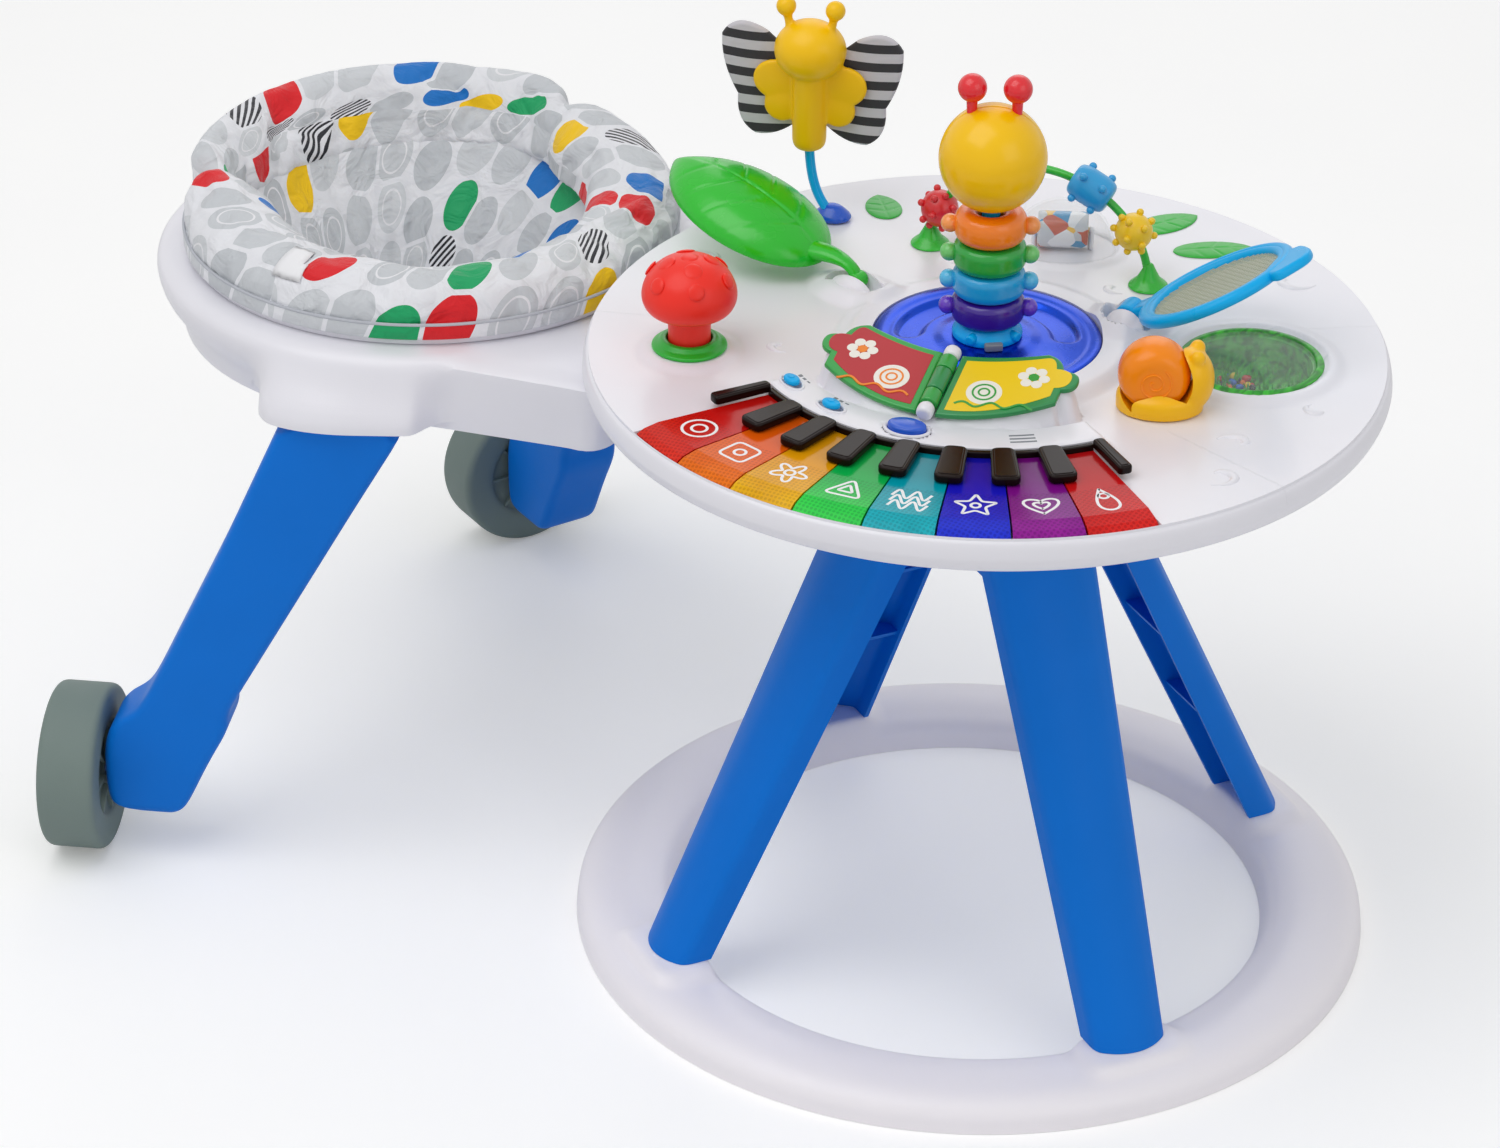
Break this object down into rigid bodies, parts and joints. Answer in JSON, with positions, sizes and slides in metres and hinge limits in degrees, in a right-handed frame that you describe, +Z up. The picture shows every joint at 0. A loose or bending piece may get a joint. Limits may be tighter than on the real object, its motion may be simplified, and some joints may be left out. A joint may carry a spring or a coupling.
{
  "type": "baby activity center",
  "caption": "Round toy table on a legged floor ring, with a wheeled walker whose padded swivel seat circles it; piano keys, flip book, spinning disc, bead arch and hinged toys.",
  "frame": {"origin": "middle of the footprint, on the floor", "axes": "+X from the seat towards the table, +Z up, +Y to the side away from the piano keys"},
  "size_m": [1.0592, 0.7654, 0.7358],
  "materials": {
    "amber_plastic": "clear tinted gloss",
    "black_plastic": "gloss",
    "blue_plastic": "satin moulded plastic",
    "clear_plastic": "clear polycarbonate",
    "dark_green_plastic": "satin",
    "green_plastic": "satin",
    "indigo_plastic": "clear tinted gloss",
    "magenta_plastic": "clear tinted gloss",
    "metallic_blue": "metallic gloss",
    "net": "open net",
    "orange_plastic": "gloss",
    "purple_plastic": "gloss",
    "red_plastic": "gloss",
    "seat_fabric": "printed woven polyester over wadding",
    "sky_blue_plastic": "gloss",
    "striped_fabric": "black and white striped satin",
    "teal_plastic": "clear tinted gloss",
    "wheel_grey": "matt moulded plastic",
    "white_plastic": "satin moulded plastic",
    "yellow_plastic": "gloss"
  },
  "bodies": {
    "table": {"base_ring": "white_plastic", "table_leg_1": "blue_plastic", "table_leg_2": "blue_plastic", "table_leg_3": "blue_plastic", "table_leg_4": "blue_plastic", "leg_crown": "blue_plastic", "table_top": "white_plastic", "table_pan": "white_plastic", "black_keys": "black_plastic", "book_page_left": "green_plastic", "leaf_base": "white_plastic", "paddle_base": "white_plastic", "bead_tray": "green_plastic", "window_lens": "clear_plastic", "snail_body": "yellow_plastic", "mushroom_collar": "green_plastic", "bead_arch": "green_plastic", "dome_lens": "clear_plastic", "leaf_pad_left": "green_plastic", "leaf_pad_middle": "green_plastic", "leaf_pad_right": "green_plastic"},
    "walker": {"walker_frame": "white_plastic", "walker_leg_near": "blue_plastic", "walker_leg_far": "blue_plastic"},
    "wheel_near": {"wheel_near": "wheel_grey"},
    "wheel_far": {"wheel_far": "wheel_grey"},
    "seat": {"seat_ring": "white_plastic", "seat_pad": "seat_fabric"},
    "disc": {"spin_disc": "metallic_blue", "stack_post": "sky_blue_plastic"},
    "ring_purple": {"ring_purple": "purple_plastic"},
    "ring_blue": {"ring_blue": "sky_blue_plastic"},
    "ring_green": {"ring_green": "green_plastic"},
    "ring_orange": {"ring_orange": "orange_plastic"},
    "head": {"stack_head": "yellow_plastic", "head_feelers": "red_plastic"},
    "leaf": {"leaf_lid": "green_plastic"},
    "paddle": {"paddle_frame": "sky_blue_plastic", "paddle_mesh": "net"},
    "snail_shell": {"snail_shell": "orange_plastic"},
    "mushroom": {"mushroom": "red_plastic"},
    "bug": {"stalk": "sky_blue_plastic", "bug_body": "yellow_plastic", "bug_wings": "striped_fabric"},
    "bead_red": {"bead_red": "red_plastic"},
    "bead_blue": {"bead_blue": "sky_blue_plastic"},
    "bead_yellow": {"bead_yellow": "yellow_plastic"},
    "tumbler": {"tumbler": "orange_plastic"},
    "page_right": {"book_page_right": "dark_green_plastic"},
    "switch_1": {"switch_1": "sky_blue_plastic"},
    "switch_2": {"switch_2": "sky_blue_plastic"},
    "mode_button": {"mode_button": "blue_plastic"},
    "key_1": {"key_1": "red_plastic"},
    "key_2": {"key_2": "orange_plastic"},
    "key_3": {"key_3": "amber_plastic"},
    "key_4": {"key_4": "green_plastic"},
    "key_5": {"key_5": "teal_plastic"},
    "key_6": {"key_6": "indigo_plastic"},
    "key_7": {"key_7": "magenta_plastic"},
    "key_8": {"key_8": "red_plastic"}
  },
  "joints": [
    {"name": "walk_around", "type": "hinge", "parent": "table", "child": "walker", "pos_m": [0.21138, -0.01474, 0.45], "axis": [0, 0, 1], "continuous": true},
    {"name": "wheel_near_spin", "type": "hinge", "parent": "walker", "child": "wheel_near", "pos_m": [-0.46125, -0.31351, 0.069], "axis": [-0.9139, -0.4059, 0], "continuous": true},
    {"name": "wheel_far_spin", "type": "hinge", "parent": "walker", "child": "wheel_far", "pos_m": [-0.44701, 0.31423, 0.069], "axis": [-0.8945, 0.447, 0], "continuous": true},
    {"name": "seat_swivel", "type": "hinge", "parent": "walker", "child": "seat", "pos_m": [-0.30462, -0.01474, 0.475], "axis": [0, 0, 1], "continuous": true},
    {"name": "disc_spin", "type": "hinge", "parent": "table", "child": "disc", "pos_m": [0.21138, -0.01474, 0.518], "axis": [0, 0, 1], "continuous": true},
    {"name": "ring_purple_turn", "type": "hinge", "parent": "disc", "child": "ring_purple", "pos_m": [0.21138, -0.01474, 0.55], "axis": [0, 0, 1], "continuous": true},
    {"name": "ring_blue_turn", "type": "hinge", "parent": "disc", "child": "ring_blue", "pos_m": [0.21138, -0.01474, 0.5725], "axis": [0, 0, 1], "continuous": true},
    {"name": "ring_green_turn", "type": "hinge", "parent": "disc", "child": "ring_green", "pos_m": [0.21138, -0.01474, 0.595], "axis": [0, 0, 1], "continuous": true},
    {"name": "ring_orange_turn", "type": "hinge", "parent": "disc", "child": "ring_orange", "pos_m": [0.21138, -0.01474, 0.6175], "axis": [0, 0, 1], "continuous": true},
    {"name": "head_turn", "type": "hinge", "parent": "disc", "child": "head", "pos_m": [0.21138, -0.01474, 0.65], "axis": [0, 0, 1], "continuous": true},
    {"name": "leaf_lift", "type": "hinge", "parent": "table", "child": "leaf", "pos_m": [0.081, 0.01155, 0.521], "axis": [0.1288, 0.9917, 0], "range_deg": [-13, 60]},
    {"name": "paddle_lift", "type": "hinge", "parent": "table", "child": "paddle", "pos_m": [0.29019, 0.07037, 0.524], "axis": [0.0802, -0.9968, 0], "range_deg": [-27, 60]},
    {"name": "snail_shell_roll", "type": "hinge", "parent": "table", "child": "snail_shell", "pos_m": [0.36721, -0.04072, 0.541], "axis": [-0.4633, 0.8862, 0], "continuous": true},
    {"name": "mushroom_press", "type": "slide", "parent": "table", "child": "mushroom", "axis": [0, 0, -1], "range_m": [0, 0.006], "stiffness_N_per_m": 500, "springref_m": -0.006},
    {"name": "bug_sway", "type": "hinge", "parent": "table", "child": "bug", "pos_m": [-0.00057, 0.1121, 0.512], "axis": [-0.2857, 0.9583, 0], "range_deg": [-12, 12], "stiffness_Nm_per_rad": 6},
    {"name": "bead_red_spin", "type": "hinge", "parent": "table", "child": "bead_red", "pos_m": [0.0958, 0.11557, 0.54482], "axis": [-0.4179, -0.0558, -0.9068], "continuous": true},
    {"name": "bead_blue_spin", "type": "hinge", "parent": "table", "child": "bead_blue", "pos_m": [0.22115, 0.13229, 0.58684], "axis": [-0.8987, -0.1199, 0.4218], "continuous": true},
    {"name": "bead_yellow_spin", "type": "hinge", "parent": "table", "child": "bead_yellow", "pos_m": [0.25708, 0.13708, 0.55651], "axis": [-0.5598, -0.0747, 0.8252], "continuous": true},
    {"name": "tumbler_spin", "type": "hinge", "parent": "table", "child": "tumbler", "pos_m": [0.18102, 0.16471, 0.528], "axis": [0.8862, 0.4633, 0], "continuous": true},
    {"name": "page_turn", "type": "hinge", "parent": "table", "child": "page_right", "pos_m": [0.23591, -0.13425, 0.538], "axis": [0.1951, -0.9505, -0.2419], "range_deg": [0, 165]},
    {"name": "switch_1_slide", "type": "slide", "parent": "table", "child": "switch_1", "axis": [0.8712, -0.4909, 0], "range_m": [-0.004, 0.004]},
    {"name": "switch_2_slide", "type": "slide", "parent": "table", "child": "switch_2", "axis": [0.9728, -0.2317, 0], "range_m": [-0.004, 0.004]},
    {"name": "mode_press", "type": "slide", "parent": "table", "child": "mode_button", "axis": [0, 0, -1], "range_m": [0, 0.0025], "stiffness_N_per_m": 400, "springref_m": -0.002},
    {"name": "key_1_press", "type": "hinge", "parent": "table", "child": "key_1", "pos_m": [0.13012, -0.19201, 0.501], "axis": [0.9091, -0.4167, 0], "range_deg": [0, 3], "stiffness_Nm_per_rad": 0.6, "springref_deg": -8.59},
    {"name": "key_2_press", "type": "hinge", "parent": "table", "child": "key_2", "pos_m": [0.16329, -0.20372, 0.501], "axis": [0.9691, -0.2466, 0], "range_deg": [0, 3], "stiffness_Nm_per_rad": 0.6, "springref_deg": -8.59},
    {"name": "key_3_press", "type": "hinge", "parent": "table", "child": "key_3", "pos_m": [0.19803, -0.20929, 0.501], "axis": [0.9977, -0.0685, 0], "range_deg": [0, 3], "stiffness_Nm_per_rad": 0.6, "springref_deg": -8.59},
    {"name": "key_4_press", "type": "hinge", "parent": "table", "child": "key_4", "pos_m": [0.2332, -0.20852, 0.501], "axis": [0.9937, 0.1119, 0], "range_deg": [0, 3], "stiffness_Nm_per_rad": 0.6, "springref_deg": -8.59},
    {"name": "key_5_press", "type": "hinge", "parent": "table", "child": "key_5", "pos_m": [0.26766, -0.20144, 0.501], "axis": [0.9574, 0.2886, 0], "range_deg": [0, 3], "stiffness_Nm_per_rad": 0.6, "springref_deg": -8.59},
    {"name": "key_6_press", "type": "hinge", "parent": "table", "child": "key_6", "pos_m": [0.30028, -0.1883, 0.501], "axis": [0.89, 0.4559, 0], "range_deg": [0, 3], "stiffness_Nm_per_rad": 0.6, "springref_deg": -8.59},
    {"name": "key_7_press", "type": "hinge", "parent": "table", "child": "key_7", "pos_m": [0.33002, -0.1695, 0.501], "axis": [0.7936, 0.6084, 0], "range_deg": [0, 3], "stiffness_Nm_per_rad": 0.6, "springref_deg": -8.59},
    {"name": "key_8_press", "type": "hinge", "parent": "table", "child": "key_8", "pos_m": [0.35589, -0.14566, 0.501], "axis": [0.6714, 0.7411, 0], "range_deg": [0, 3], "stiffness_Nm_per_rad": 0.6, "springref_deg": -8.59}
  ]
}
